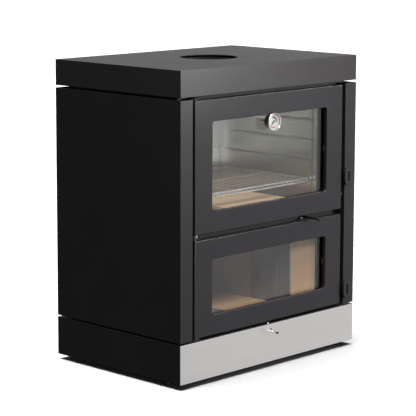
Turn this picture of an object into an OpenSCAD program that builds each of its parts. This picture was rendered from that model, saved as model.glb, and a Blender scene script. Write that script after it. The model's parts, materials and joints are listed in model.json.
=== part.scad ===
// Wood-fired oven stove: a firebox with an oven above it, in painted steel cladding on a plinth.
// Z is up, the doors face -Y, and the origin is on the floor at the middle of the overall box.
// Depths (d) are counted back from the front face of the cladding.

/* [Cabinet] */
// Overall width
body_w = 720; // [600:5:880]
// Depth of the cladding
body_d = 490; // [405:5:590]
// Height of the side panels
panel_h = 648; // [540:1:780]
// Height of the top cap
cap_h = 72; // [50:1:100]
// Open gap under the top cap
cap_gap = 7; // [5:1:10]
// Height of the plinth
plinth_h = 108; // [90:1:140]
// Open gap over the plinth
plinth_gap = 5; // [4:1:8]
// Thickness of the cladding sheet
sheet = 3; // [2:0.5:4]
// Width of the front pillars
pillar_w = 46; // [38:1:56]
// Width of the folded edges at the back of the side panels
rear_flange = 40; // [30:1:50]
// Depth of the folded edges beside the doors
pillar_return = 30; // [24:1:31]
// Air gap between the side panels and the carcass
side_air = 17; // [12:1:22]
// Air gap between the carcass and the back panel
rear_air = 32; // [24:1:40]

/* [Doors] */
// Gap between a door and a pillar
door_side_gap = 11; // [9:0.5:14]
// Gap between the upper door and the top cap
door_top_gap = 12; // [10:0.5:16]
// Gap between the two doors
door_mid_gap = 16; // [14:0.5:20]
// Gap between the lower door and the plinth
door_low_gap = 8; // [7.5:0.5:12]
// Height of the lower door
lower_door_h = 265; // [221:1:318]
// How far the doors sit behind the pillar faces
door_recess = 3; // [2:0.5:5]
// Depth of a door without its rope seal
door_t = 24; // [22:0.5:25]
// Thickness of the door sheet
door_sheet = 3; // [2:0.5:4]
// Width of a door's frame beside its window
window_side = 68; // [64:1:82]
// Height of the upper door's frame above and below its window
upper_rail = 59; // [56:1:72]
// Height of the lower door's frame above and below its window
lower_rail = 56; // [54:1:68]
// Corner radius of the windows
window_r = 9; // [5:1:14]
// Thickness of the glass
glass_t = 4; // [3:0.5:5]
// Thickness of the sealing tape in front of the glass
tape_t = 1.5; // [1:0.5:2]
// Width of the lip that the glass lies on
glass_lip = 14; // [11:1:15]
// Radius of the door rope
rope_r = 5.5; // [5:0.25:6]
// Inset of the door rope from the door's edge
rope_inset = 16; // [15:0.5:17.5]

/* [Hinges and catches] */
// Radius of the hinge pins
pin_r = 4; // [3:0.25:4.5]
// Running clearance around pins, rods and spindles
run_gap = 0.06; // [0.03:0.01:0.08]
// Inset of the hinge pins from the door's edge
pin_inset = 11; // [9:0.5:12]
// Depth of the hinge pins behind the door's face
pin_depth = 10; // [9:0.25:10.5]
// Thickness of the hinge lugs
lug_t = 4; // [3:0.5:4.5]
// Length of a turn catch
catch_l = 48; // [44:1:56]
// Width of a turn catch
catch_w = 33; // [26:1:36]
// Thickness of a turn catch
catch_t = 8; // [6:0.5:12]
// Radius of a turn catch's spindle
catch_pin_r = 4; // [3:0.25:4.5]

/* [Firebox and oven] */
// Thickness of the carcass plates
plate = 4; // [3:0.5:6]
// Distance from the upper door's side edge to the oven wall
oven_side = 73; // [66:1:84]
// Height of the oven mouth over the upper door's bottom edge
oven_low = 36; // [30:1:44]
// Distance from the upper door's top edge down to the oven roof
oven_high = 33; // [28:1:40]
// Distance from the back of the oven to the back of the cladding
oven_rear = 89; // [70:1:110]
// Thickness of the oven liner
liner_t = 2; // [1:0.5:2]
// Width of the oven's floor stone
stone_w = 252; // [210:1:302]
// Thickness of the oven's floor stone
stone_t = 12; // [8:1:18]
// Height of the firebox mouth over the lower door's bottom edge
fire_low = 24; // [23:1:30]
// Distance from the lower door's top edge down to the firebox mouth
fire_high = 32; // [26:1:40]
// Thickness of the firebox linings
brick_t = 30; // [24:1:36]
// Height of the firebox floor over the base plate
floor_t = 23; // [18:1:26]
// Width of the flue duct beside the firebox, in the mouth
duct_w = 110; // [90:1:132]

/* [Rack] */
// Radius of the rack's frame wire
rack_wire_r = 3; // [2.5:0.25:4]
// Radius of the rack's cross wires
rack_bar_r = 1.5; // [1:0.25:2]
// Spacing of the cross wires
rack_pitch = 21; // [17:0.5:26]
// Height of the lowest rack over the oven floor
rack_rise = 56; // [47:1:67]
// Spacing of the rack positions
rail_pitch = 58; // [48:1:60]

/* [Flue and controls] */
// Inner radius of the flue collar
flue_r = 75; // [62.5:0.5:90]
// Gap between the flue collar and the hole in the top cap
flue_gap = 5; // [3:1:8]
// How far the flue collar ends below the top cap's face
flue_recess = 7; // [4:1:12]
// Radius of the damper rod
damper_rod_r = 3.5; // [2.5:0.25:4]
// How far the damper rod and its knob stand out
damper_out = 39; // [33:1:46]
// Distance of the damper rod from the middle
damper_x = 160; // [134:1:190]
// Radius of the air control rod
air_rod_r = 2; // [1.5:0.25:2.5]
// How far the air control rod and its knob stand out
air_out = 28; // [24:1:32]
// Radius of the air inlet port
air_port_r = 15; // [12.5:0.5:17]
// Radius of the thermometer's face
gauge_r = 26; // [22:0.5:30]
// How far the thermometer stands out from the glass
gauge_out = 23; // [21:0.5:28]
// Distance from the window's top edge down to the middle of the thermometer
gauge_drop = 21; // [19:0.5:28]

/* [Feet] */
// Height of the plinth over the floor
foot_h = 15; // [12:1:20]
// Radius of a foot's pad
foot_r = 15; // [12:1:18]
// Radius of a foot's screw
foot_screw_r = 5; // [4:0.5:6]
// Inset of the feet from the sides
foot_side = 25; // [22:1:30]
// Inset of the feet from the front and the back
foot_end = 84; // [60:1:100]

/* [Hidden] */
$fn = 48;

part_gap = 0.3;          // clearance between parts that move past each other
front_y = -(body_d - damper_out) / 2;
half_w = body_w / 2;

// heights
plinth_top = foot_h + plinth_h;
panel_z0 = plinth_top + plinth_gap;
panel_z1 = panel_z0 + panel_h;
cap_z0 = panel_z1 + cap_gap;
cap_z1 = cap_z0 + cap_h;
lower_z0 = plinth_top + door_low_gap;
lower_z1 = lower_z0 + lower_door_h;
upper_z0 = lower_z1 + door_mid_gap;
upper_z1 = cap_z0 - door_top_gap;
base_z1 = plinth_top + plate;
floor_z = base_z1 + floor_t;
roof_z1 = lower_z1;
roof_z0 = roof_z1 - plate;
carcass_z1 = cap_z0 + 11;

// doors
pillar_x = half_w - pillar_w;
door_x = pillar_x - door_side_gap;
door_d1 = door_recess + door_t;
glass_d0 = door_recess + 12;
glass_d1 = glass_d0 + glass_t;
channel_d0 = door_d1 - 9;
rope_d = channel_d0 + 2 + rope_r;
frame_d0 = rope_d + rope_r + 1;
frame_d1 = frame_d0 + plate;

// carcass, oven and firebox
carcass_x = half_w - sheet - side_air;
back_panel_d = body_d - sheet - 2;
carcass_d1 = back_panel_d - rear_air;
wall_x = carcass_x - plate;
mouth_x = door_x - oven_side;
oven_z0 = upper_z0 + oven_low;
oven_z1 = upper_z1 - oven_high;
oven_d1 = body_d - oven_rear;
fire_z0 = lower_z0 + fire_low;
fire_z1 = lower_z1 - fire_high;
duct_x = mouth_x - duct_w;
lining_d1 = carcass_d1 - plate - 8;
back_lining_d0 = lining_d1 - brick_t;

// rack
rail_r = 3;
rack_x = mouth_x - 5 - rack_wire_r;
rack_z = oven_z0 + rack_rise;
rack_d0 = frame_d1 + 24;
rack_d1 = oven_d1 - 16;
rail_z = rack_z - rack_wire_r - part_gap - rail_r;
post_w = 10;

// hinges and catches
pin_x = -door_x + pin_inset;
pin_d = door_recess + pin_depth;
catch_nut_r = catch_pin_r + 2;
catch_x = pillar_x + sheet + catch_nut_r + 0.5;
upper_catch_z = upper_z0 + 94;
lower_catch_z = lower_z0 + 42;

// flue and controls
flue_d = body_d / 2;
collar_t = 2;
cap_screw_at = (flue_r + collar_t + flue_gap + 10) * sin(45);
damper_z = roof_z1 + 8;
damper_port_x = [damper_x - 120, damper_x - 50];
damper_port_d = [body_d - 240, body_d - 120];
air_z = plinth_top - 22;
air_box_d0 = frame_d0 + 8;
knob_r = 3.5;
gauge_z = upper_z1 - upper_rail - gauge_drop;
gauge_d = glass_d0 - gauge_out;
needle_rest = 225;       // the needle's angle at rest, counted from straight up

// ---------- helpers ----------

// a box between two widths, two depths behind the front face, and two heights
module slab(x0, x1, d0, d1, z0, z1) {
    translate([x0, front_y + d0, z0]) cube([x1 - x0, d1 - d0, z1 - z0]);
}

// a round bar along the depth
module bar_d(x, z, r, d0, d1) {
    translate([x, front_y + d0, z]) rotate([-90, 0, 0]) cylinder(r = r, h = d1 - d0);
}

// a round bar along the width
module bar_x(d, z, r, x0, x1) {
    translate([x0, front_y + d, z]) rotate([0, 90, 0]) cylinder(r = r, h = x1 - x0);
}

// a round bar upright
module bar_z(x, d, r, z0, z1) {
    translate([x, front_y + d, z0]) cylinder(r = r, h = z1 - z0);
}

// a flat outline in width and height, pushed back from one depth to another
module plate_d(d0, d1) {
    translate([0, front_y + d1, 0]) rotate([90, 0, 0]) linear_extrude(d1 - d0) children();
}

// a rectangle with round corners, from its low corner to its high corner
module round_rect(x0, z0, x1, z1, r) {
    for (x = [x0 + r, x1 - r], z = [z0 + r, z1 - r]) translate([x, z]) circle(r);
    translate([x0 + r, z0]) square([x1 - x0 - 2 * r, z1 - z0]);
    translate([x0, z0 + r]) square([x1 - x0, z1 - z0 - 2 * r]);
}

// a countersunk or pan screw, its head at the origin and its shank along +Z
module screw(head_r, head_t, shank_r, shank_l) {
    cylinder(r = head_r, h = head_t);
    translate([0, 0, head_t - 0.01]) cylinder(r = shank_r, h = shank_l);
}

// a screw driven backwards from a point on a face
module screw_d(x, d, z, head_r, head_t, shank_r, shank_l) {
    translate([x, front_y + d, z]) rotate([-90, 0, 0]) screw(head_r, head_t, shank_r, shank_l);
}

// ---------- cladding ----------

// one side panel: a sheet folded in at the front as a pillar, and at the back
module side_panel() {
    x = half_w;
    slab(x - sheet, x, 0, body_d, panel_z0, panel_z1);
    slab(pillar_x, x, 0, sheet, panel_z0, panel_z1);
    slab(pillar_x, pillar_x + sheet, 0, pillar_return, panel_z0, panel_z1);
    slab(x - rear_flange, x, body_d - sheet, body_d, panel_z0, panel_z1);
}

module left_side_panel() {
    color("#201f20") mirror([1, 0, 0]) side_panel();
}

stop_screw = [13, lower_z1 + 56];   // depth and height of the screw in the right pillar's edge

module right_side_panel() {
    color("#201f20") difference() {
        side_panel();
        for (z = [upper_catch_z, lower_catch_z])
            bar_d(catch_x, z, catch_pin_r + run_gap, -1, sheet + 1);
        bar_x(stop_screw[0], stop_screw[1], 2, pillar_x - 1, pillar_x + sheet + 1);
    }
}

back_screws = [for (x = [-1, 1], z = [panel_z0 + 40, panel_z1 - 40])
    [x * (carcass_x - 60), z]];

module back_panel() {
    x = half_w - sheet - 1;
    color("#1d1d1e") difference() {
        slab(-x, x, back_panel_d, back_panel_d + 2 - part_gap, panel_z0, panel_z1);
        for (s = back_screws) bar_d(s[0], s[1], 2.5, back_panel_d - 1, body_d);
    }
}

module top_cap() {
    color("#2a292a") difference() {
        slab(-half_w, half_w, 0, body_d, cap_z0, cap_z1);
        slab(-half_w + sheet, half_w - sheet, sheet, body_d - sheet, cap_z0 - 1, cap_z1 - sheet);
        bar_z(0, flue_d, flue_r + collar_t + flue_gap, cap_z0, cap_z1 + 1);
        bar_z(cap_screw_at, flue_d - cap_screw_at, 4, cap_z1 - 2, cap_z1 + 1);
        bar_z(cap_screw_at, flue_d - cap_screw_at, 2, cap_z0, cap_z1);
    }
}

// a round tube with a flange that lies on the carcass top plate
module flue_collar() {
    color("#161616") translate([0, front_y + flue_d, 0]) rotate_extrude($fn = 96) {
        translate([flue_r, carcass_z1 - plate - 10])
            square([collar_t, cap_z1 - flue_recess - carcass_z1 + plate + 10]);
        translate([flue_r + 1, carcass_z1]) square([19, 3]);
    }
}

// the black sides and back of the plinth, folded in at the top and the bottom, with screwed-in nuts
module plinth_frame() {
    x = half_w;
    flange = 2 * foot_side - 5;
    color("#1b1b1c") difference() {
        union() {
            for (s = [0, 1]) mirror([s, 0, 0]) {
                slab(x - sheet, x, 2, body_d, foot_h, plinth_top);
                slab(x - 30, x, 2, body_d, plinth_top - sheet, plinth_top);
                slab(x - flange, x, 2, body_d, foot_h, foot_h + sheet);
                for (d = [foot_end, body_d - foot_end])
                    bar_z(x - foot_side, d, foot_screw_r + 4, foot_h, foot_h + sheet + 8);
            }
            slab(-x, x, body_d - sheet, body_d, foot_h, plinth_top);
            slab(-x, x, body_d - 60, body_d, plinth_top - sheet, plinth_top);
        }
        for (s = [-1, 1], d = [foot_end, body_d - foot_end])
            bar_z(s * (x - foot_side), d, foot_screw_r + run_gap, foot_h - 1, foot_h + 30);
    }
}

panel_t = 2;             // thickness of the stainless plinth front
guide_screw_z = air_z + 6.5;

// the bright plinth front, folded back at the top and the bottom
module plinth_front_panel() {
    x_top = half_w - 30 - 1;
    x_low = half_w - 2 * foot_side + 4;
    color("#b9b6b2") difference() {
        union() {
            slab(-half_w, half_w, 0, panel_t, foot_h, plinth_top);
            slab(-x_top, x_top, 0, 22, plinth_top - panel_t, plinth_top);
            slab(-x_low, x_low, 0, 22, foot_h, foot_h + panel_t);
        }
        bar_d(0, air_z, air_rod_r + run_gap, -1, panel_t + 1);
        bar_d(0, guide_screw_z, 1.5, -1, panel_t + 1);
        bar_z(0, 12, 2, plinth_top - panel_t - 1, plinth_top + 1);
    }
}

bracket_l = 40;

// a folded bracket across an air gap, its back on the carcass at x = 0
module bracket(gap) {
    t = 2;
    translate([0, -bracket_l / 2, 0]) {
        cube([gap, bracket_l, t]);
        cube([t, bracket_l, 22]);
        translate([gap - t, 0, 0]) cube([t, bracket_l, 22]);
    }
}

// brackets for the side panels and the back panel, and posts under the top cap
module cladding_brackets() {
    color("#4a4b4d") {
        for (s = [0, 1], d = [0.25, 0.75] * body_d, z = [panel_z0 + 60, panel_z1 - 90])
            mirror([s, 0, 0]) translate([carcass_x, front_y + d, z]) bracket(side_air);
        for (p = back_screws)
            translate([p[0], front_y + carcass_d1, p[1] - 11]) rotate([0, 0, 90]) bracket_with_hole();
        for (s = [-1, 1], d = [70, carcass_d1 - 30])
            slab(s * carcass_x * 0.75 - 10, s * carcass_x * 0.75 + 10, d - 10, d + 10,
                carcass_z1, cap_z1 - sheet);
        difference() {
            x = cap_screw_at;
            slab(x - 8, x + 8, flue_d - x - 8, flue_d - x + 8, carcass_z1 + 3, cap_z1 - sheet);
            bar_z(x, flue_d - x, 2, cap_z0, cap_z1);
        }
    }
}

// a bracket whose outer wing takes a screw
module bracket_with_hole() {
    difference() {
        bracket(rear_air);
        translate([rear_air - 3, 0, 11]) rotate([0, 90, 0]) cylinder(r = 2, h = 4);
    }
}

// the screws in the cap, the plinth front, the right pillar and the back panel
module panel_screws() {
    x = cap_screw_at;
    color("#2e2e30") {
        translate([x, front_y + flue_d - x, cap_z1]) mirror([0, 0, 1]) screw(4, 2, 2, 20);
        translate([0, front_y + 12, plinth_top + 2]) mirror([0, 0, 1]) screw(4, 2, 2, 8);
        screw_d(0, -1.5, guide_screw_z, 2.5, 1.5, 1.5, panel_t + 6);
        translate([pillar_x - 2, front_y + stop_screw[0], stop_screw[1]])
            rotate([0, 90, 0]) screw(3.5, 2, 2, sheet + 3);
        for (s = back_screws)
            translate([s[0], front_y + back_panel_d + 2 - part_gap + 1.5, s[1]])
                rotate([90, 0, 0]) back_screw();
    }
}

// a screw through the back panel, thinner where it enters the bracket
module back_screw() {
    screw(4, 1.5, 2.5, 2 - part_gap);
    translate([0, 0, 1.5]) cylinder(r = 2, h = 2 - part_gap + 5);
}

// ---------- carcass ----------

air_slot_d = [air_box_d0 + 4, air_box_d0 + 20];   // where the inlet air rises through the base

module base_plate() {
    color("#232324") difference() {
        slab(-carcass_x, carcass_x, frame_d0, carcass_d1, plinth_top, base_z1);
        slab(-34, 34, air_slot_d[0], air_slot_d[1], plinth_top - 1, base_z1 + 1);
    }
}

// the welded left, back and right walls
module carcass_shell() {
    color("#1a1a1b") {
        for (s = [0, 1]) mirror([s, 0, 0])
            slab(wall_x, carcass_x, frame_d1, carcass_d1, base_z1, carcass_z1 - plate);
        slab(-wall_x - 1, wall_x + 1, carcass_d1 - plate, carcass_d1, base_z1, carcass_z1 - plate);
    }
}

module carcass_top_plate() {
    color("#1a1a1b") difference() {
        slab(-carcass_x, carcass_x, frame_d1, carcass_d1, carcass_z1 - plate, carcass_z1);
        bar_z(0, flue_d, flue_r + collar_t, cap_z0 - 10, cap_z1);
    }
}

// the plate that the doors close against, with the mouths of the oven and the firebox
module front_frame() {
    color("#161617") difference() {
        slab(-carcass_x, carcass_x, frame_d0, frame_d1, base_z1, carcass_z1);
        slab(-mouth_x, mouth_x, frame_d0 - 1, frame_d1 + 1, oven_z0, oven_z1);
        slab(-mouth_x, mouth_x, frame_d0 - 1, frame_d1 + 1, fire_z0, fire_z1);
        bar_d(damper_x, damper_z, damper_rod_r + run_gap, frame_d0 - 1, frame_d1 + 1);
    }
}

// the plate over the firebox: one port over the duct and one under the damper
module firebox_roof() {
    color("#222223") difference() {
        slab(-wall_x, wall_x, frame_d1, carcass_d1 - plate, roof_z0, roof_z1);
        slab(mouth_x + 15, wall_x - 15, 120, carcass_d1 - 60, roof_z0 - 1, roof_z1 + 1);
        slab(damper_port_x[0], damper_port_x[1], damper_port_d[0], damper_port_d[1],
            roof_z0 - 1, roof_z1 + 1);
    }
}

// ---------- firebox linings ----------

floor_split = -55;       // the bricks end here, and the plate lies to the left of them
joint = 1.5;             // open joint between bricks
bricks_d0 = air_slot_d[1] + 2;

module floor_bricks() {
    n = 3;
    step = (back_lining_d0 - bricks_d0) / n;
    color("#c79a74")
        for (i = [0 : n - 1])
            slab(floor_split + joint, duct_x - joint, bricks_d0 + i * step,
                bricks_d0 + (i + 1) * step - joint, base_z1, floor_z);
}

module floor_plate() {
    color("#6b6a6c") slab(-mouth_x, floor_split, bricks_d0, back_lining_d0 - joint, base_z1, floor_z);
}

module left_lining() {
    mid = (frame_d1 + back_lining_d0) / 2;
    color("#8a745f") {
        slab(-mouth_x - brick_t, -mouth_x, frame_d1, mid - joint, base_z1, roof_z0);
        slab(-mouth_x - brick_t, -mouth_x, mid, back_lining_d0, base_z1, roof_z0);
    }
}

module back_lining() {
    n = 2;
    x0 = -mouth_x - brick_t;
    step = (duct_x + brick_t - x0) / n;
    color("#8a745f")
        for (i = [0 : n - 1])
            slab(x0 + i * step, x0 + (i + 1) * step - joint, back_lining_d0, lining_d1, base_z1, roof_z0);
}

duct_plate_d1 = frame_d1 + 157;   // end of the steel plates on the duct
duct_seam_d = frame_d1 + 51;      // seam between the two steel plates
right_joint_d = duct_plate_d1 + 93;
right_d1 = right_joint_d + 66;    // the gases pass to the duct behind this

module right_lining() {
    color("#8a745f") {
        slab(duct_x, duct_x + brick_t, duct_plate_d1, right_joint_d, base_z1, roof_z0);
        slab(duct_x, duct_x + brick_t, right_joint_d + joint, right_d1, base_z1, roof_z0);
    }
}

// two steel plates on the left face of the duct, with a strip over their seam
module duct_side_plates() {
    color("#78787d") {
        slab(duct_x, duct_x + plate, frame_d1, duct_seam_d, base_z1, roof_z0);
        slab(duct_x, duct_x + plate, duct_seam_d + 1, duct_plate_d1, base_z1, roof_z0);
        slab(duct_x - 1.5, duct_x, duct_seam_d - 3, duct_seam_d + 4, floor_z, roof_z0);
    }
}

module duct_front_brick() {
    color("#c9996f") slab(duct_x + plate, mouth_x, frame_d1, frame_d1 + brick_t, base_z1, roof_z0);
}

// ---------- oven ----------

module oven_liner() {
    x = mouth_x;
    color("#c4c1ba") difference() {
        slab(-x - liner_t, x + liner_t, frame_d1, oven_d1 + liner_t, oven_z0 - liner_t, oven_z1 + liner_t);
        slab(-x, x, frame_d1 - 1, oven_d1, oven_z0, oven_z1);
    }
}

module oven_floor_stone() {
    color("#d9b48c") slab(-stone_w / 2, stone_w / 2, frame_d1 + 9, oven_d1 - 11, oven_z0, oven_z0 + stone_t);
}

rails = floor((oven_z1 - rail_z - 25) / rail_pitch);

// posts on the right oven wall, with a rail at each rack position
module rack_support() {
    for (d = [rack_d0 - 8, rack_d1 - post_w])
        slab(mouth_x - 4, mouth_x, d, d + post_w, oven_z0 + 33, oven_z1 - 3);
    for (i = [0 : rails])
        bar_d(mouth_x - 3.5 - rail_r, rail_z + i * rail_pitch, rail_r, rack_d0 - 8, rack_d1);
}

module left_rack_support() {
    color("#c9c7c2") mirror([1, 0, 0]) rack_support_joined();
}

module right_rack_support() {
    color("#c9c7c2") rack_support_joined();
}

// the rails reach the posts through short stand-offs
module rack_support_joined() {
    rack_support();
    for (d = [rack_d0 - 8, rack_d1 - post_w], i = [0 : rails])
        slab(mouth_x - 3.5 - rail_r, mouth_x - 3, d + 2, d + post_w - 2,
            rail_z + i * rail_pitch - 1.5, rail_z + i * rail_pitch + 1.5);
}

// a wire rack: a frame with one middle bar, and cross wires laid over it
module oven_rack() {
    r = rack_wire_r;
    n = floor((2 * rack_x - 10) / rack_pitch / 2);
    mid = (rack_d0 + rack_d1) / 2;
    color("#d2d2d2") {
        for (d = [rack_d0, mid, rack_d1 - 2 * r]) bar_x(d, rack_z, r, -rack_x, rack_x);
        for (s = [-1, 1]) {
            bar_d(s * rack_x, rack_z, r, rack_d0, rack_d1 - 2 * r);
            for (d = [rack_d0, rack_d1 - 2 * r])
                translate([s * rack_x, front_y + d, rack_z]) sphere(r, $fn = 24);
        }
        for (i = [-n : n])
            bar_d(i * rack_pitch, rack_z + r, rack_bar_r, rack_d0 - 1, rack_d1 - 2 * r + 1, $fn = 16);
    }
}

// ---------- doors ----------

// the outline of a window, grown by some margin
module window(z0, z1, rail, grow) {
    x = door_x - window_side + grow;
    round_rect(-x, z0 + rail - grow, x, z1 - rail + grow, window_r + max(grow, 2 - window_r));
}

// a folded door: front skin, edges, an inner edge and lip round the window, and the rope channel
module door_frame(z0, z1, rail) {
    t = door_sheet;
    inner = glass_d0 - tape_t;
    difference() {
        plate_d(door_recess, door_d1) translate([-door_x, z0]) square([2 * door_x, z1 - z0]);
        // the hollow behind the skin, outside the lip and the inner edge
        plate_d(door_recess + t, inner - t) difference() {
            translate([-door_x + t, z0 + t]) square([2 * door_x - 2 * t, z1 - z0 - 2 * t]);
            window(z0, z1, rail, t);
        }
        plate_d(inner - t - 0.01, channel_d0) difference() {
            translate([-door_x + t, z0 + t]) square([2 * door_x - 2 * t, z1 - z0 - 2 * t]);
            window(z0, z1, rail, glass_lip);
        }
        // everything behind the lip
        plate_d(inner, channel_d0 + 0.01)
            translate([-door_x + t, z0 + t]) square([2 * door_x - 2 * t, z1 - z0 - 2 * t]);
        // inside the rope channel, and in it
        channel = rope_inset + rope_r + 2;
        plate_d(channel_d0, door_d1 + 1)
            translate([-door_x + channel, z0 + channel])
                square([2 * (door_x - channel), z1 - z0 - 2 * channel]);
        plate_d(channel_d0 + 2, door_d1 + 1) difference() {
            translate([-door_x + t, z0 + t]) square([2 * door_x - 2 * t, z1 - z0 - 2 * t]);
            translate([-door_x + channel - 2, z0 + channel - 2])
                square([2 * (door_x - channel + 2), z1 - z0 - 2 * channel + 4]);
        }
        plate_d(door_recess - 1, inner + 1) window(z0, z1, rail, 0);
        for (z = [z0, z1 - t - 1])
            bar_z(pin_x, pin_d, pin_r + run_gap, z - 1, z + t + 2);
    }
}

// a sheet of glass that lies behind the lip
module door_glass(z0, z1, rail) {
    x = door_x - window_side + glass_lip;
    slab(-x, x, glass_d0, glass_d1, z0 + rail - glass_lip, z1 - rail + glass_lip);
}

// flat tape between the lip and the glass
module glass_tape(z0, z1, rail) {
    plate_d(glass_d0 - tape_t, glass_d0) difference() {
        window(z0, z1, rail, glass_lip - 1);
        window(z0, z1, rail, 3);
    }
}

// rope that fills the channel round the back of a door
module door_rope(z0, z1) {
    x = door_x - rope_inset;
    zl = z0 + rope_inset;
    zh = z1 - rope_inset;
    for (z = [zl, zh]) bar_x(rope_d, z, rope_r, -x + rope_r, x - rope_r);
    for (s = [-1, 1]) bar_z(s * x, rope_d, rope_r, zl + rope_r, zh - rope_r);
    for (s = [-1, 1], z = [[zl, -1], [zh, 1]])
        translate([s * (x - rope_r), front_y + rope_d, z[0] - z[1] * rope_r])
            rotate([90, 0, 0]) rope_corner(s, z[1]);
}

// a quarter turn of rope in the quarter given by two signs
module rope_corner(sx, sz) {
    start = sx > 0 ? (sz > 0 ? 0 : 270) : (sz > 0 ? 90 : 180);
    rotate([0, 0, start]) rotate_extrude(angle = 90) translate([rope_r, 0]) intersection() {
        circle(rope_r);
        translate([0, -rope_r]) square([rope_r, 2 * rope_r]);
    }
}

clip_w = 14;             // width of a glass clip
clip_reach = 8;          // how far a clip reaches over the glass
clip_t = 2;

// one clip behind the glass: its post, its tongue and its screw, with the glass towards +Z
module glass_clip() {
    depth = glass_d1 - door_recess - door_sheet;
    difference() {
        rotate([-90, 0, 0]) cylinder(r = 3.5, h = depth, $fn = 24);
        rotate([-90, 0, 0]) translate([0, 0, depth - 8]) cylinder(r = 1.5, h = 9, $fn = 24);
    }
    difference() {
        translate([-clip_w / 2, depth, -5]) cube([clip_w, clip_t, 9 + clip_reach]);
        translate([0, depth - 1, 0]) rotate([-90, 0, 0]) cylinder(r = 1.5, h = 5, $fn = 24);
    }
    translate([0, depth + clip_t + 1.5, 0]) rotate([90, 0, 0]) {
        cylinder(r = 3.2, h = 1.5, $fn = 24);
        translate([0, 0, 1.4]) cylinder(r = 1.5, h = clip_t + 7, $fn = 24);
    }
}

// clips along the top and bottom of the glass, and one at each side
module glass_clips(z0, z1, rail, n) {
    out = 4;             // from the glass edge to a clip's post
    x = door_x - window_side + glass_lip + out;
    zl = z0 + rail - glass_lip - out;
    zh = z1 - rail + glass_lip + out;
    depth = front_y + door_recess + door_sheet;
    pitch = 2 * (door_x - window_side) / (n - 0.45);
    for (i = [0 : n - 1]) {
        cx = (i - (n - 1) / 2) * pitch;
        translate([cx, depth, zl]) glass_clip();
        translate([cx, depth, zh]) mirror([0, 0, 1]) glass_clip();
    }
    for (s = [0, 1]) mirror([s, 0, 0])
        translate([x, depth, (z0 + z1) / 2]) rotate([0, -90, 0]) glass_clip();
}

// small bright studs on the sill of the upper window
module sill_studs(z0, rail, n) {
    pitch = 2 * (door_x - window_side) / (n - 0.45);
    for (i = [0 : n - 1])
        bar_z((i - (n - 1) / 2) * pitch, door_recess + 3.5, 1.8, z0 + rail, z0 + rail + 1.4, $fn = 24);
}

module oven_door_frame() {
    color("#2b2a2b") door_frame(upper_z0, upper_z1, upper_rail);
}

module firebox_door_frame() {
    color("#2b2a2b") door_frame(lower_z0, lower_z1, lower_rail);
}

module oven_door_glass() {
    color("#c8d2cf", 0.3) difference() {
        door_glass(upper_z0, upper_z1, upper_rail);
        bar_d(0, gauge_z, 5, glass_d0 - 1, glass_d1 + 1);
    }
}

module firebox_door_glass() {
    color("#c8d2cf", 0.3) door_glass(lower_z0, lower_z1, lower_rail);
}

module oven_glass_tape() {
    color("#8f8c86") glass_tape(upper_z0, upper_z1, upper_rail);
}

module firebox_glass_tape() {
    color("#8f8c86") glass_tape(lower_z0, lower_z1, lower_rail);
}

module oven_glass_clips() {
    color("#b4b4b6") {
        glass_clips(upper_z0, upper_z1, upper_rail, 5);
        sill_studs(upper_z0, upper_rail, 5);
    }
}

module firebox_glass_clips() {
    color("#b4b4b6") glass_clips(lower_z0, lower_z1, lower_rail, 5);
}

module oven_door_rope() {
    color("#4b4a48") door_rope(upper_z0, upper_z1);
}

module firebox_door_rope() {
    color("#4b4a48") door_rope(lower_z0, lower_z1);
}

// a thin wedge-shaped plate over the damper rod, thick end to the right
module damper_mark() {
    color("#0c0c0c") plate_d(door_recess - 0.8, door_recess)
        translate([damper_x + 42, upper_z0 + 16])
            polygon([[0, 0], [35, 0], [35, 6], [28, 5]]);
}

// ---------- thermometer ----------

gauge_rim = 1.5;         // wall of the thermometer's cup and bezel
face_d = gauge_d + 5.5;  // front of the dial

// barrel and cup, with the spindle of the needle in front and the stem behind
module thermometer_case() {
    cup_r = gauge_r - gauge_rim;
    color("#8d8e92") translate([0, front_y, gauge_z]) rotate([-90, 0, 0]) rotate_extrude() {
        difference() {
            union() {
                translate([0, gauge_d + gauge_rim]) square([cup_r, 9.5 - gauge_rim]);
                translate([0, gauge_d + 9]) square([gauge_r - 6, glass_d0 - gauge_d - 9]);
                translate([0, glass_d0 - 0.01]) square([4, glass_d1 - glass_d0 + 26]);
            }
            translate([-1, gauge_d]) square([cup_r - gauge_rim + 1, 6.5]);
        }
        translate([0, gauge_d + 4]) square([1, 4]);
    }
}

module thermometer_bezel() {
    cup_r = gauge_r - gauge_rim;
    color("#d8d8d8") translate([0, front_y, gauge_z]) rotate([-90, 0, 0]) rotate_extrude()
        difference() {
            translate([0, gauge_d]) square([gauge_r, 7]);
            translate([-1, gauge_d + gauge_rim]) square([cup_r + 1, 9]);
            translate([-1, gauge_d - 1]) square([cup_r - gauge_rim, 9]);
        }
}

module thermometer_dial() {
    r = gauge_r - 2 * gauge_rim - 0.1;
    color("#f1efe8") difference() {
        bar_d(0, gauge_z, r, face_d, face_d + 1);
        bar_d(0, gauge_z, 1, face_d - 1, face_d + 2);
    }
}

module thermometer_lens() {
    r = gauge_r - 2 * gauge_rim - 0.1;
    color("#dfe8ea", 0.25) bar_d(0, gauge_z, r, gauge_d + gauge_rim, gauge_d + gauge_rim + 1.5);
}

// the nut and washer behind the glass that hold the thermometer
module thermometer_nut() {
    color("#a9a9ab") difference() {
        union() {
            bar_d(0, gauge_z, 10, glass_d1, glass_d1 + 1.5);
            bar_d(0, gauge_z, 7.5, glass_d1 + 1.4, glass_d1 + 6, $fn = 6);
        }
        bar_d(0, gauge_z, 4, glass_d1 - 1, glass_d1 + 8);
    }
}

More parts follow.
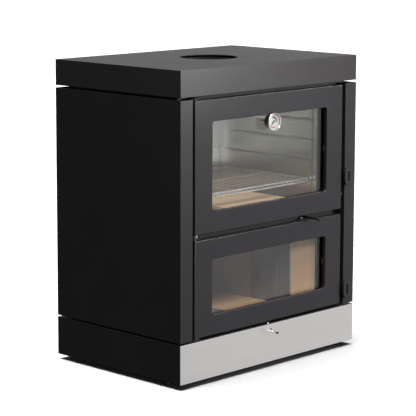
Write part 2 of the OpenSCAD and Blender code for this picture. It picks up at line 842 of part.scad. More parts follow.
// a pointer on a hub, at its cold end at rest
module thermometer_needle() {
    d1 = face_d - part_gap;
    r = gauge_r - 2 * gauge_rim;
    color("#2a2a2a") difference() {
        union() {
            bar_d(0, gauge_z, 3, d1 - 0.9, d1);
            translate([0, 0, gauge_z]) rotate([0, needle_rest, 0]) translate([0, 0, -gauge_z])
                plate_d(d1 - 0.8, d1) translate([0, gauge_z])
                    polygon([[-1.4, -6], [1.4, -6], [0.3, 0.8 * r], [-0.3, 0.8 * r]]);
        }
        bar_d(0, gauge_z, 1 + run_gap, d1 - 2, d1 + 1);
    }
}

// ---------- hinges, catches and controls ----------

lugs = [upper_z1 + 3, lower_z1 + 4, lower_z0 - 2.5 - lug_t];   // bottom faces of the hinge lugs

// three lugs on the front frame that carry the hinge pins
module hinge_lugs() {
    color("#57585a")
        for (z = lugs) difference() {
            slab(pin_x - 14, pin_x + 14, pin_d - 8, frame_d0, z, z + lug_t);
            bar_z(pin_x, pin_d, pin_r, z - 1, z + lug_t + 1);
        }
}

// the pins, two of them with a collar that carries a door
module hinge_pins() {
    reach = 14;          // how far a pin enters a door
    color("#8c8d90") {
        bar_z(pin_x, pin_d, pin_r, upper_z1 - reach, lugs[0] + lug_t);
        bar_z(pin_x, pin_d, pin_r, lower_z1 - reach, upper_z0 + reach);
        bar_z(pin_x, pin_d, pin_r + 3, lugs[1] + lug_t, upper_z0 - part_gap);
        bar_z(pin_x, pin_d, pin_r, lugs[2], lower_z0 + reach);
        bar_z(pin_x, pin_d, pin_r + 3, lugs[2] + lug_t, lower_z0 - part_gap);
    }
}

// a turn catch with a slot for the loose handle, its spindle and the nut behind the pillar
module turn_catch(z) {
    back = -0.5;
    r = catch_w / 2 - 4;
    difference() {
        plate_d(back - catch_t, back)
            round_rect(catch_x - catch_w / 2, z - catch_l / 2, catch_x + catch_w / 2, z + catch_l / 2, r);
        slab(catch_x - 3.2, catch_x + 3.2, back - catch_t - 1, back - catch_t + 5, z - 14, z + 14);
    }
    bar_d(catch_x, z, catch_pin_r, back - 0.5, sheet + 7);
    difference() {
        bar_d(catch_x, z, catch_nut_r, sheet + part_gap, sheet + 5.5, $fn = 6);
        bar_d(catch_x, z, catch_pin_r, sheet, sheet + 8);
    }
}

module upper_catch() {
    color("#2f2e2f") turn_catch(upper_catch_z);
}

module lower_catch() {
    color("#2f2e2f") turn_catch(lower_catch_z);
}

plate_front_d = damper_port_d[0] - 15;   // front edge of the damper plate

// guide for the damper rod on the front frame
module damper_bush() {
    color("#6f7073") difference() {
        bar_d(damper_x, damper_z, damper_rod_r + 3, frame_d0 - 3, frame_d0);
        bar_d(damper_x, damper_z, damper_rod_r + run_gap, frame_d0 - 4, frame_d0 + 1);
    }
}

module damper_rod() {
    color("#3a3a3c") bar_d(damper_x, damper_z, damper_rod_r, -damper_out + 10, plate_front_d);
}

module damper_knob() {
    r = damper_rod_r + 1.2;
    color("#101010") translate([damper_x, front_y - damper_out, damper_z]) rotate([-90, 0, 0])
        rotate_extrude() {
            translate([0, 2]) square([r, 8]);
            square([r - 1.5, 3]);
        }
}

// the plate that slides over the bypass port, with a lug for the rod
module damper_plate() {
    z = roof_z1 + part_gap;
    color("#2c2c2d") {
        slab(damper_port_x[0] - 10, damper_x + 10, plate_front_d, damper_port_d[1] + 12, z, z + 3);
        slab(damper_x - 8, damper_x + 8, plate_front_d, plate_front_d + 4, z, damper_z + damper_rod_r + 2);
    }
}

// the duct under the base plate, with the round port that the valve closes
module air_inlet_box() {
    d0 = air_box_d0;
    z0 = air_z - air_port_r - 6;
    color("#3b3c3e") difference() {
        slab(-42, 42, d0, d0 + 150, z0, plinth_top);
        slab(-40, 40, d0 + 2, d0 + 148, z0 + 2, plinth_top + 1);
        bar_d(0, air_z, air_port_r, d0 - 1, d0 + 3);
    }
}

module air_rod_guide() {
    color("#55565a") difference() {
        slab(-8, 8, panel_t, panel_t + 6, air_z - 7, guide_screw_z + 6);
        bar_d(0, air_z, air_rod_r + run_gap, panel_t - 1, panel_t + 7);
        bar_d(0, guide_screw_z, 1.5, panel_t - 1, panel_t + 7);
    }
}

module air_rod() {
    color("#cfcfd1") bar_d(0, air_z, air_rod_r, -air_out + knob_r, air_box_d0 - part_gap - 3);
}

// a ball with a blind hole for the end of the rod
module air_knob() {
    color("#0d0d0d") translate([0, front_y - air_out + knob_r, air_z]) rotate([-90, 0, 0])
        rotate_extrude() difference() {
            circle(knob_r);
            translate([-2 * knob_r, -knob_r]) square([2 * knob_r, 2 * knob_r]);
            translate([-1, 0]) square([air_rod_r + 1, knob_r + 1]);
        }
}

module air_valve() {
    d1 = air_box_d0 - part_gap;
    color("#4b4c4e") bar_d(0, air_z, air_port_r + 4, d1 - 3, d1);
}

// ---------- feet ----------

// a levelling foot: a round pad on a screw that turns in the plinth's nut
module foot(sx, d) {
    x = sx * (half_w - foot_side);
    color("#171717") {
        bar_z(x, d, foot_r, 0, foot_h - 5);
        bar_z(x, d, foot_screw_r + 3, 0, foot_h - part_gap);
        bar_z(x, d, foot_screw_r, 0, foot_h + 26);
    }
}

module foot_front_left() { foot(-1, foot_end); }
module foot_front_right() { foot(1, foot_end); }
module foot_back_left() { foot(-1, body_d - foot_end); }
module foot_back_right() { foot(1, body_d - foot_end); }

left_side_panel();
right_side_panel();
back_panel();
top_cap();
flue_collar();
plinth_frame();
plinth_front_panel();
cladding_brackets();
panel_screws();
base_plate();
carcass_shell();
carcass_top_plate();
front_frame();
firebox_roof();
floor_bricks();
floor_plate();
left_lining();
back_lining();
right_lining();
duct_side_plates();
duct_front_brick();
oven_liner();
oven_floor_stone();
left_rack_support();
right_rack_support();
hinge_lugs();
hinge_pins();
damper_bush();
air_inlet_box();
air_rod_guide();
oven_door_frame();
oven_door_glass();
oven_glass_tape();
oven_glass_clips();
oven_door_rope();
damper_mark();
thermometer_case();
thermometer_bezel();
thermometer_dial();
thermometer_lens();
thermometer_nut();
thermometer_needle();
firebox_door_frame();
firebox_door_glass();
firebox_glass_tape();
firebox_glass_clips();
firebox_door_rope();
upper_catch();
lower_catch();
oven_rack();
damper_rod();
damper_knob();
damper_plate();
air_rod();
air_knob();
air_valve();
foot_front_left();
foot_front_right();
foot_back_left();
foot_back_right();
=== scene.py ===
import json
import math

import bpy
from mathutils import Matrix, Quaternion, Vector

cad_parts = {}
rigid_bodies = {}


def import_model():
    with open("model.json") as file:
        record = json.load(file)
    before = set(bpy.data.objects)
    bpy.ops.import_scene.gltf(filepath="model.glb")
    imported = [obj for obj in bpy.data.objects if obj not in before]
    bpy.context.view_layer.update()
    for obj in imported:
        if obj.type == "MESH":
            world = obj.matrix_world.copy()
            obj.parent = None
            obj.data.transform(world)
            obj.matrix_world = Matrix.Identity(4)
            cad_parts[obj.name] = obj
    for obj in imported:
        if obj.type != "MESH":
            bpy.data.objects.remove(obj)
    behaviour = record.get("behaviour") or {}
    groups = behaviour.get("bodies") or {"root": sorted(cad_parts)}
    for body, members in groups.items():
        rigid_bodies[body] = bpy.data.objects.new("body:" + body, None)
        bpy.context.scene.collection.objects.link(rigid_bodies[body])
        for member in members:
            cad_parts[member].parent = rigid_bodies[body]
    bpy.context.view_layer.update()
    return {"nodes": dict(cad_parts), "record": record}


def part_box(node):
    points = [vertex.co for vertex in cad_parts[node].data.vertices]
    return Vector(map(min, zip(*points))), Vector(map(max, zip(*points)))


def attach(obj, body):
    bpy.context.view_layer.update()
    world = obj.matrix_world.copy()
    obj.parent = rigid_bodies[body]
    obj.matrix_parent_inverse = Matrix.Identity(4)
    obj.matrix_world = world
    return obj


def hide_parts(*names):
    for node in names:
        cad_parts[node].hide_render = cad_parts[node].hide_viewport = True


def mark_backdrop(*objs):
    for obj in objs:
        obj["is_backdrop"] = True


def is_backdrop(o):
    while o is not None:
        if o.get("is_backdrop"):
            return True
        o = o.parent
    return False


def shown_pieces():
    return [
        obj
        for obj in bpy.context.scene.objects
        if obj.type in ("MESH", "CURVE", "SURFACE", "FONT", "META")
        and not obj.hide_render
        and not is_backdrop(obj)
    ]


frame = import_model()
nodes = frame["nodes"]
record = frame["record"]
bodyOf = {node: body for body, members in record["behaviour"]["bodies"].items() for node in members}
mm = 0.001                           # the frame is in metres
weld = 0.02 * mm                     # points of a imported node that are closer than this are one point


def pick(piece):
    # makes the piece the only one selected, in object mode
    if bpy.context.mode != "OBJECT":
        bpy.ops.object.mode_set(mode="OBJECT")
    bpy.ops.object.select_all(action="DESELECT")
    piece.select_set(True)
    bpy.context.view_layer.objects.active = piece


def enterEdit(piece, selectAll=True):
    pick(piece)
    bpy.ops.object.mode_set(mode="EDIT")
    bpy.ops.mesh.select_mode(type="VERT")
    bpy.ops.mesh.select_all(action="SELECT" if selectAll else "DESELECT")


def leaveEdit():
    bpy.ops.object.mode_set(mode="OBJECT")


def chooseFaces(piece, wanted):
    # selects the faces whose middle and normal pass the test, and stays in edit mode
    enterEdit(piece, selectAll=False)
    leaveEdit()
    for face in piece.data.polygons:
        face.select = wanted(face.center, face.normal)
    bpy.ops.object.mode_set(mode="EDIT")
    bpy.ops.mesh.select_mode(type="FACE")


def chooseEdges(piece, wanted):
    # selects the edges whose two ends pass the test, and stays in edit mode
    enterEdit(piece, selectAll=False)
    leaveEdit()
    spots = [vertex.co for vertex in piece.data.vertices]
    for edge in piece.data.edges:
        edge.select = wanted(spots[edge.vertices[0]], spots[edge.vertices[1]])
    bpy.ops.object.mode_set(mode="EDIT")
    bpy.ops.mesh.select_mode(type="EDGE")


def applyModifier(piece, kind, **settings):
    pick(piece)
    modifier = piece.modifiers.new("work", kind)
    for key, value in settings.items():
        setattr(modifier, key, value)
    bpy.ops.object.modifier_apply(modifier="work")


def settle(piece, name):
    # the object goes to the origin and its place goes into its mesh
    pick(piece)
    bpy.ops.object.transform_apply(location=True, rotation=True, scale=True)
    piece.name = name
    return piece


def smooth(piece, angle=35):
    pick(piece)
    bpy.ops.object.shade_smooth_by_angle(angle=math.radians(angle))


def roundOff(piece, width, segments=2, angle=40):
    # rounds the edges and keeps the flat faces looking flat
    applyModifier(piece, "BEVEL", width=width, segments=segments, limit_method="ANGLE",
                  angle_limit=math.radians(angle), use_clamp_overlap=False, miter_outer="MITER_ARC")
    smooth(piece)
    applyModifier(piece, "WEIGHTED_NORMAL", mode="FACE_AREA", weight=100, keep_sharp=True)


def addBox(name, low, high):
    low, high = Vector(low), Vector(high)
    bpy.ops.object.select_all(action="DESELECT")
    bpy.ops.mesh.primitive_cube_add(size=1, location=(low + high) / 2, scale=high - low)
    return settle(bpy.context.object, name)


def addRod(name, start, end, radius, sides=24, endRound=0.0):
    # a round bar between two points, with its ends rounded over
    start, end = Vector(start), Vector(end)
    bpy.ops.object.select_all(action="DESELECT")
    bpy.ops.mesh.primitive_cylinder_add(vertices=sides, radius=radius, depth=(end - start).length,
                                        location=(start + end) / 2)
    rod = bpy.context.object
    rod.rotation_mode = "QUATERNION"
    rod.rotation_quaternion = (end - start).to_track_quat("Z", "Y")
    settle(rod, name)
    if endRound:
        roundOff(rod, endRound, 3, 60)
    else:
        smooth(rod)
    return rod


def turnProfile(name, profile, foot, axis, steps):
    # spins an outline of (radius, height) points round an axis that starts at foot
    mesh = bpy.data.meshes.new(name)
    points = [(radius, 0, height) for radius, height in profile]
    mesh.from_pydata(points, [(i, i + 1) for i in range(len(points) - 1)], [])
    piece = bpy.data.objects.new(name, mesh)
    bpy.context.scene.collection.objects.link(piece)
    enterEdit(piece)
    bpy.ops.mesh.spin(steps=steps, angle=2 * math.pi, center=(0, 0, 0), axis=(0, 0, 1))
    bpy.ops.mesh.select_all(action="SELECT")
    bpy.ops.mesh.remove_doubles(threshold=weld / 2)
    bpy.ops.mesh.normals_make_consistent(inside=False)
    leaveEdit()
    piece.rotation_mode = "QUATERNION"
    piece.rotation_quaternion = Vector(axis).to_track_quat("Z", "Y")
    piece.location = foot
    settle(piece, name)
    smooth(piece)
    return piece


def inMillimetres(outline):
    return [(radius * mm, height * mm) for radius, height in outline]


def bentOutline(piece, corner):
    # leaves only the outline of a flat piece, with its corners bent round
    enterEdit(piece)
    bpy.ops.mesh.bevel(offset=corner, segments=6, affect="VERTICES")
    bpy.ops.mesh.select_all(action="SELECT")
    bpy.ops.mesh.delete(type="ONLY_FACE")
    leaveEdit()


def joinPieces(name, parts):
    pick(parts[0])
    for part in parts:
        part.select_set(True)
    bpy.ops.object.join()
    parts[0].name = name
    return parts[0]


def copyPiece(piece, name, shift):
    twin = piece.copy()
    twin.data = piece.data.copy()
    bpy.context.scene.collection.objects.link(twin)
    twin.location = shift
    return settle(twin, name)


def copyNode(node, name, whole=True):
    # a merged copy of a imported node; whole turns the triangles of each flat face back into one face
    piece = bpy.data.objects.new(name, nodes[node].data.copy())
    bpy.context.scene.collection.objects.link(piece)
    enterEdit(piece)
    bpy.ops.mesh.customdata_custom_splitnormals_clear()
    bpy.ops.mesh.remove_doubles(threshold=weld)
    if whole:
        bpy.ops.mesh.dissolve_limited(angle_limit=math.radians(0.4))
    leaveEdit()
    return piece


def softened(node, width, segments=2, whole=True):
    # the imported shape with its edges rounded, as folded or ground metal has them
    piece = copyNode(node, node + "_rounded", whole)
    roundOff(piece, width, segments)
    return piece


def fit(piece, node, finish):
    # the piece stands for a imported node: it rides on the same body, takes the given finish, and the node
    # is hidden
    piece.data.materials.clear()
    piece.data.materials.append(finish)
    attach(piece, bodyOf[node])
    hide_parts(node)
    return piece


def dress(node, finish):
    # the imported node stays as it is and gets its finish
    nodes[node].data.materials.clear()
    nodes[node].data.materials.append(finish)


class Wire:
    # a socket that Python sums can be done on
    def __init__(self, finish, socket):
        self.finish = finish
        self.socket = socket

    def sum(self, operation, first, second):
        return self.finish.node("ShaderNodeMath", {"operation": operation}, {0: first, 1: second})

    def __add__(self, other):
        return self.sum("ADD", self, other)

    def __radd__(self, other):
        return self.sum("ADD", other, self)

    def __sub__(self, other):
        return self.sum("SUBTRACT", self, other)

    def __rsub__(self, other):
        return self.sum("SUBTRACT", other, self)

    def __mul__(self, other):
        return self.sum("MULTIPLY", self, other)

    def __rmul__(self, other):
        return self.sum("MULTIPLY", other, self)

    def __pow__(self, other):
        return self.sum("POWER", self, other)


class Finish:
    # a material being mixed: a tree of nodes, and the place on the object that patterns read
    def __init__(self, name):
        self.material = bpy.data.materials.new(name)
        self.material.use_nodes = True
        self.tree = self.material.node_tree
        self.tree.nodes.clear()
        self.place = self.node("ShaderNodeTexCoord", {}, {}, "Object")

    def node(self, kind, settings, sockets, output=0):
        made = self.tree.nodes.new(kind)
        stops = settings.get("stops")
        for key, value in settings.items():
            if key != "stops":
                setattr(made, key, value)
        if stops:
            while len(made.color_ramp.elements) < len(stops):
                made.color_ramp.elements.new(1.0)
            for element, (position, colour) in zip(made.color_ramp.elements, stops):
                element.position = position
                element.color = (*colour, 1)
        for key, value in sockets.items():
            if isinstance(value, Wire):
                self.tree.links.new(value.socket, made.inputs[key])
            else:
                made.inputs[key].default_value = value
        return Wire(self, made.outputs[output]) if len(made.outputs) else made

    def noise(self, scale, detail=3.0, roughness=0.55, stretch=None):
        vector = self.place
        if stretch:
            vector = self.node("ShaderNodeMapping", {}, {"Vector": vector, "Scale": stretch})
        return self.node("ShaderNodeTexNoise", {}, {"Vector": vector, "Scale": scale, "Detail": detail,
                                                    "Roughness": roughness}, "Fac")

    def spots(self, scale):
        return self.node("ShaderNodeTexVoronoi", {}, {"Vector": self.place, "Scale": scale}, "Distance")

    def between(self, value, low, high):
        # 0 under low, 1 over high, and a soft step between them
        return self.node("ShaderNodeMapRange", {"interpolation_type": "SMOOTHSTEP", "clamp": True},
                         {"Value": value, "From Min": low, "From Max": high})

    def ramp(self, value, stops):
        return self.node("ShaderNodeValToRGB", {"stops": stops}, {"Fac": value}, "Color")

    def mix(self, share, first, second):
        first, second = [c if isinstance(c, Wire) else (*c, 1) for c in (first, second)]
        return self.node("ShaderNodeMix", {"data_type": "RGBA"}, {0: share, 6: first, 7: second}, 2)

    def bump(self, height, distance):
        sockets = {"Height": height, "Distance": distance, "Strength": 1.0}
        return self.node("ShaderNodeBump", {}, sockets, "Normal")

    def principled(self, **sockets):
        # a socket's name is written with underscores for its spaces
        named = {key.replace("_", " "): value for key, value in sockets.items()}
        colour = named["Base Color"]
        if not isinstance(colour, Wire):
            named["Base Color"] = (*colour, 1)
        return self.node("ShaderNodeBsdfPrincipled", {}, named, "BSDF")

    def done(self, shader):
        output = self.tree.nodes.new("ShaderNodeOutputMaterial")
        self.tree.links.new(shader.socket, output.inputs["Surface"])
        return self.material


paintFacts = {                       # colour, roughness, and the size and depth of the grain
    "cladding": {"colour": (0.0155, 0.0145, 0.0158), "roughness": 0.33, "grain": 1500, "relief": 0.03 * mm},
    "top": {"colour": (0.0225, 0.0205, 0.021), "roughness": 0.33, "grain": 1500, "relief": 0.03 * mm},
    "door": {"colour": (0.0165, 0.0152, 0.0166), "roughness": 0.29, "grain": 1500, "relief": 0.03 * mm},
    "carcass": {"colour": (0.010, 0.010, 0.010), "roughness": 0.62, "grain": 900, "relief": 0.08 * mm},
}


def satinPaint(name, colour, roughness, grain, relief):
    # heat-proof paint: a fine dry grain, faint clouding, and a few specks of dust
    paint = Finish(name)
    fine = paint.noise(grain, 2.0)
    cloud = paint.noise(7.0, 4.0)
    speck = paint.between(paint.spots(160.0), 0.10, 0.03)
    tone = paint.mix(cloud, [c * 0.86 for c in colour], [c * 1.14 for c in colour])
    tone = paint.mix(speck * 0.10, tone, (0.10, 0.095, 0.09))
    return paint.done(paint.principled(
        Base_Color=tone, Roughness=roughness - 0.05 + cloud * 0.06 + fine * 0.05,
        Specular_IOR_Level=0.14, Normal=paint.bump(fine, relief)))


def brushedPanel(name):
    # stainless sheet brushed along its length
    steel = Finish(name)
    line = steel.noise(900.0, 3.0, 0.6, (0.012, 1.0, 1.0))
    broad = steel.noise(60.0, 2.0, 0.5, (0.03, 1.0, 1.0))
    cloud = steel.noise(3.0, 2.0)
    tone = steel.mix(line * 0.5 + broad * 0.5, (0.56, 0.545, 0.53), (0.70, 0.685, 0.67))
    return steel.done(steel.principled(
        Base_Color=tone, Metallic=1.0, Roughness=0.26 + line * 0.10 + cloud * 0.05,
        Normal=steel.bump(line, 0.012 * mm)))


def ovenSteel(name):
    # bright polished sheet, a little wavy, with fine rubbing marks
    steel = Finish(name)
    wave = steel.noise(9.0, 1.0, 0.4)
    rub = steel.noise(420.0, 3.0, 0.6, (1.0, 0.02, 1.0))
    tone = steel.mix(steel.noise(4.0, 3.0), (0.63, 0.625, 0.60), (0.72, 0.71, 0.69))
    return steel.done(steel.principled(
        Base_Color=tone, Metallic=1.0, Roughness=0.20 + rub * 0.05,
        Normal=steel.bump(wave, 0.35 * mm)))


def heatedSteel(name):
    # bare plate that has gone dull and slightly blue with heat
    steel = Finish(name)
    cloud = steel.noise(11.0, 5.0, 0.6)
    scale = steel.noise(260.0, 3.0)
    tone = steel.ramp(cloud, [(0.30, (0.19, 0.18, 0.23)), (0.52, (0.27, 0.26, 0.32)),
                              (0.72, (0.33, 0.31, 0.34))])
    return steel.done(steel.principled(
        Base_Color=tone, Metallic=0.75, Roughness=0.44 + scale * 0.16,
        Normal=steel.bump(scale, 0.06 * mm)))


def zincPlate(name, colour, roughness):
    # zinc on steel: flat flakes that each shine a little differently
    zinc = Finish(name)
    flake = zinc.spots(420.0)
    cloud = zinc.noise(30.0, 3.0)
    tone = zinc.mix(flake * 0.7 + cloud * 0.3, [c * 0.8 for c in colour], colour)
    return zinc.done(zinc.principled(
        Base_Color=tone, Metallic=0.9, Roughness=roughness + flake * 0.14,
        Normal=zinc.bump(cloud, 0.05 * mm)))


def chromeWire(name, colour, roughness):
    # plated wire and turned parts, with faint rubbing
    chrome = Finish(name)
    rub = chrome.noise(600.0, 2.0)
    tone = chrome.mix(chrome.noise(25.0, 3.0), [c * 0.92 for c in colour], colour)
    return chrome.done(chrome.principled(
        Base_Color=tone, Metallic=1.0, Roughness=roughness + rub * 0.05,
        Normal=chrome.bump(rub, 0.004 * mm)))


def firedClay(name, light, dark, relief, shadeFrom=None):
    # fired clay: sandy grain, pale and dark grit, small open pores, and a painted shade of dark brown that
    # thickens upwards
    clay = Finish(name)
    cloud = clay.noise(14.0, 4.0, 0.6)
    sand = clay.noise(520.0, 4.0, 0.7)
    grit = clay.between(clay.spots(330.0), 0.16, 0.05)
    pore = clay.between(clay.spots(190.0), 0.12, 0.04)
    tone = clay.mix(cloud * 0.6 + sand * 0.4, dark, light)
    tone = clay.mix(grit * 0.35, tone, [c * 0.62 for c in dark])
    # painted shade: a dark brown mixed in by height, thicker towards the top of the firebox
    if shadeFrom:
        height = clay.node("ShaderNodeSeparateXYZ", {}, {"Vector": clay.place}, "Z")
        veil = clay.between(height + cloud * 0.10, shadeFrom[0], shadeFrom[1])
        tone = clay.mix(veil * 0.6, tone, (0.12, 0.085, 0.06))
    grain = sand * 0.5 - pore * 0.8 + cloud * 0.3
    return clay.done(clay.principled(
        Base_Color=tone, Roughness=0.84 + sand * 0.1, Normal=clay.bump(grain, relief)))


def liningBoard(name, light, dark):
    # pressed vermiculite: fine flakes under brown soot that is thicker in patches
    board = Finish(name)
    flake = board.spots(700.0)
    soot = board.noise(6.0, 5.0, 0.6)
    tone = board.mix(flake, light, dark)
    tone = board.mix(board.between(soot, 0.40, 0.75) * 0.5, tone, (0.07, 0.06, 0.052))
    return board.done(board.principled(
        Base_Color=tone, Roughness=0.82 + flake * 0.12, Normal=board.bump(flake, 0.03 * mm)))


def castIron(name):
    # rough cast skin with pale ash in patches
    iron = Finish(name)
    skin = iron.noise(300.0, 5.0, 0.7)
    ash = iron.noise(16.0, 4.0, 0.6)
    tone = iron.mix(iron.between(ash, 0.42, 0.7), (0.17, 0.17, 0.185), (0.30, 0.295, 0.29))
    return iron.done(iron.principled(
        Base_Color=tone, Metallic=0.5, Roughness=0.58 + skin * 0.2, Normal=iron.bump(skin, 0.25 * mm)))


def ropeFibre(name, colour):
    # knitted glass fibre: fine uneven loops, dark with soot in patches
    rope = Finish(name)
    loop = rope.noise(1400.0, 2.0, 0.6)
    tone = rope.mix(loop, [c * 0.6 for c in colour], [c * 1.35 for c in colour])
    tone = rope.mix(rope.between(rope.noise(20.0, 4.0), 0.5, 0.8) * 0.4, tone, (0.05, 0.048, 0.045))
    return rope.done(rope.principled(
        Base_Color=tone, Roughness=0.9, Normal=rope.bump(loop, 0.35 * mm), Sheen_Weight=0.25))


def gloss(name, colour, roughness=0.14):
    # moulded or enamelled surface with a faint ripple
    skin = Finish(name)
    ripple = skin.noise(240.0, 2.0)
    tone = skin.mix(skin.noise(40.0, 3.0), [c * 0.93 for c in colour], colour)
    return skin.done(skin.principled(
        Base_Color=tone, Roughness=roughness + ripple * 0.05, Normal=skin.bump(ripple, 0.01 * mm)))


def clearGlass(name, tint, body):
    # clear glass that shows what is behind it, with a film of haze and a bright reflection
    glass = Finish(name)
    haze = glass.noise(5.0, 4.0, 0.6)
    slant = glass.node("ShaderNodeLayerWeight", {}, {"Blend": 0.5}, "Facing")
    seeThrough = glass.node("ShaderNodeBsdfTransparent", {}, {"Color": (*tint, 1)}, "BSDF")
    film = glass.principled(Base_Color=body, Metallic=1.0, Roughness=0.04 + haze * 0.05)
    share = glass.node("ShaderNodeMath", {"operation": "ADD", "use_clamp": True},
                       {0: 0.96 * slant ** 5, 1: 0.03 + haze * 0.03})
    return glass.done(glass.node("ShaderNodeMixShader", {}, {0: share, 1: seeThrough, 2: film}, "Shader"))


def makeFinishes():
    made = {key: satinPaint("paint_" + key, **facts) for key, facts in paintFacts.items()}
    made.update({
        "panel": brushedPanel("brushed_stainless"),
        "oven": ovenSteel("polished_stainless"),
        "duct": heatedSteel("heated_steel"),
        "zinc": zincPlate("zinc_plate", (0.52, 0.52, 0.53), 0.30),
        "stud": zincPlate("bright_zinc", (0.75, 0.75, 0.76), 0.20),
        "blackScrew": zincPlate("black_oxide", (0.05, 0.05, 0.055), 0.32),
        "chrome": chromeWire("bright_chrome", (0.92, 0.92, 0.92), 0.12),
        "rackChrome": chromeWire("rack_chrome", (0.97, 0.97, 0.96), 0.28),
        "darkChrome": chromeWire("dark_chrome", (0.42, 0.42, 0.44), 0.10),
        # the last pair is the height band, in metres, over which the bricks' painted shade thickens
        "brick": firedClay("fire_brick", (0.78, 0.46, 0.26), (0.66, 0.37, 0.19), 0.20 * mm, (0.16, 0.34)),
        "stone": firedClay("oven_stone_clay", (0.95, 0.68, 0.46), (0.88, 0.60, 0.38), 0.12 * mm),
        "board": liningBoard("vermiculite_board", (0.50, 0.28, 0.16), (0.38, 0.21, 0.12)),
        "greyBoard": liningBoard("fired_board", (0.15, 0.145, 0.25), (0.12, 0.115, 0.20)),
        "iron": castIron("cast_iron_plate"),
        "rope": ropeFibre("door_rope_fibre", (0.17, 0.165, 0.16)),
        "tape": ropeFibre("glass_tape_fibre", (0.30, 0.29, 0.27)),
        "knob": gloss("black_knob", (0.012, 0.012, 0.012)),
        "foot": gloss("black_foot", (0.015, 0.015, 0.015), 0.45),
        "dial": gloss("white_dial", (0.86, 0.85, 0.82), 0.30),
        "needle": gloss("black_enamel", (0.02, 0.02, 0.02), 0.30),
        "orange": gloss("orange_enamel", (0.80, 0.16, 0.03), 0.30),
        "glass": clearGlass("stove_glass", (0.96, 0.97, 0.96), (0.96, 0.96, 0.95)),
        "lens": clearGlass("lens_glass", (0.98, 0.98, 0.98), (0.96, 0.96, 0.96)),
    })
    return made


finishes = makeFinishes()
print("finishes: %d" % len(finishes))


sheetFacts = {                       # edge rounding in millimetres, and finish
    "left_side_panel": (1.0, "cladding"), "right_side_panel": (1.0, "cladding"),
    "back_panel": (0.5, "cladding"), "plinth_frame": (0.8, "cladding"),
    "plinth_front_panel": (0.7, "panel"), "top_cap": (1.2, "top"),
    "flue_collar": (0.7, "carcass"), "front_frame": (0.8, "carcass"),
    "carcass_top_plate": (0.6, "carcass"), "carcass_shell": (0.6, "carcass"),
    "base_plate": (0.6, "carcass"), "firebox_roof": (0.6, "carcass"),
    "oven_door_frame": (0.45, "door"), "firebox_door_frame": (0.45, "door"),
    "upper_catch": (1.0, "door"), "lower_catch": (1.0, "door"),
    "oven_liner": (0.4, "oven"), "left_rack_support": (0.3, "oven"), "right_rack_support": (0.3, "oven"),
    "duct_side_plates": (0.35, "duct"), "hinge_lugs": (0.6, "blackScrew"), "hinge_pins": (0.5, "zinc"),
    "damper_bush": (0.4, "zinc"), "air_inlet_box": (0.4, "zinc"), "air_rod_guide": (0.4, "zinc"),
    "cladding_brackets": (0.4, "zinc"), "damper_plate": (0.5, "carcass"), "air_valve": (0.5, "zinc"),
    "oven_glass_clips": (0.25, "stud"), "firebox_glass_clips": (0.25, "stud"),
    "thermometer_nut": (0.4, "zinc"), "damper_mark": (0.2, "carcass"),
    "oven_door_glass": (0.6, "glass"), "firebox_door_glass": (0.6, "glass"),
}
openFaced = ["front_frame", "upper_catch", "lower_catch"]    # one face can't hold an opening
doorFold = 2.0 * mm


def foldedFront(piece, node, width):
    # the fold round a door's front face is rounder than its hidden edges
    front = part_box(node)[0].y
    near = 0.05 * mm
    chooseEdges(piece, lambda a, b: abs(a.y - front) < near and abs(b.y - front) < near)
    bpy.ops.mesh.bevel(offset=width, segments=4, affect="EDGES", clamp_overlap=False)
    leaveEdit()


def makeSheetMetal():
    for node, (width, finish) in sheetFacts.items():
        if node.endswith("door_frame"):
            piece = copyNode(node, node + "_folded")
            foldedFront(piece, node, doorFold)
            roundOff(piece, width * mm, 1, 60)
        else:
            piece = softened(node, width * mm, whole=node not in openFaced)
        fit(piece, node, finishes[finish])
    print("sheet metal: %d pieces" % len(sheetFacts))


makeSheetMetal()
dress("oven_glass_tape", finishes["tape"])
dress("firebox_glass_tape", finishes["tape"])


blockFacts = {                       # chamfer and surface relief in millimetres, and finish
    "floor_bricks": (1.6, 0.5, "brick"), "duct_front_brick": (1.6, 0.5, "brick"),
    "oven_floor_stone": (1.0, 0.12, "stone"), "left_lining": (1.2, 0.03, "board"),
    "back_lining": (1.2, 0.03, "greyBoard"), "right_lining": (1.2, 0.03, "board"),
    "floor_plate": (1.5, 0.3, "iron"),
}
reliefFacts = {"lump": 12 * mm, "depth": 3, "level": 0.6, "splits": 3}


def makeBlocks():
    clouds = bpy.data.textures.new("blockRelief", "CLOUDS")
    clouds.noise_scale = reliefFacts["lump"]
    clouds.noise_depth = reliefFacts["depth"]
    splits = reliefFacts["splits"]
    for node, (chamfer, relief, finish) in blockFacts.items():
        piece = copyNode(node, node + "_blocks")
        roundOff(piece, chamfer * mm, 2)
        enterEdit(piece)
        bpy.ops.mesh.subdivide(number_cuts=1)
        leaveEdit()
        applyModifier(piece, "SUBSURF", levels=splits, render_levels=splits, subdivision_type="SIMPLE")
        applyModifier(piece, "DISPLACE", texture=clouds, strength=relief * mm,
                      mid_level=reliefFacts["level"])
        smooth(piece, 50)
        fit(piece, node, finishes[finish])
    print("blocks: %d nodes" % len(blockFacts))


makeBlocks()


rackFacts = {
    "frameRadius": 3.0 * mm, "corner": 10 * mm, "frameSides": 16,
    "wireRadius": 1.5 * mm, "pitch": 21 * mm, "wireSides": 12,
    "drop": 9 * mm,                  # from the frame wire to the lower front wire
    "lap": 1 * mm,                   # how far a cross wire runs past the middle of the back wire
    "wireEnd": 0.6 * mm, "barEnd": 1 * mm,
}


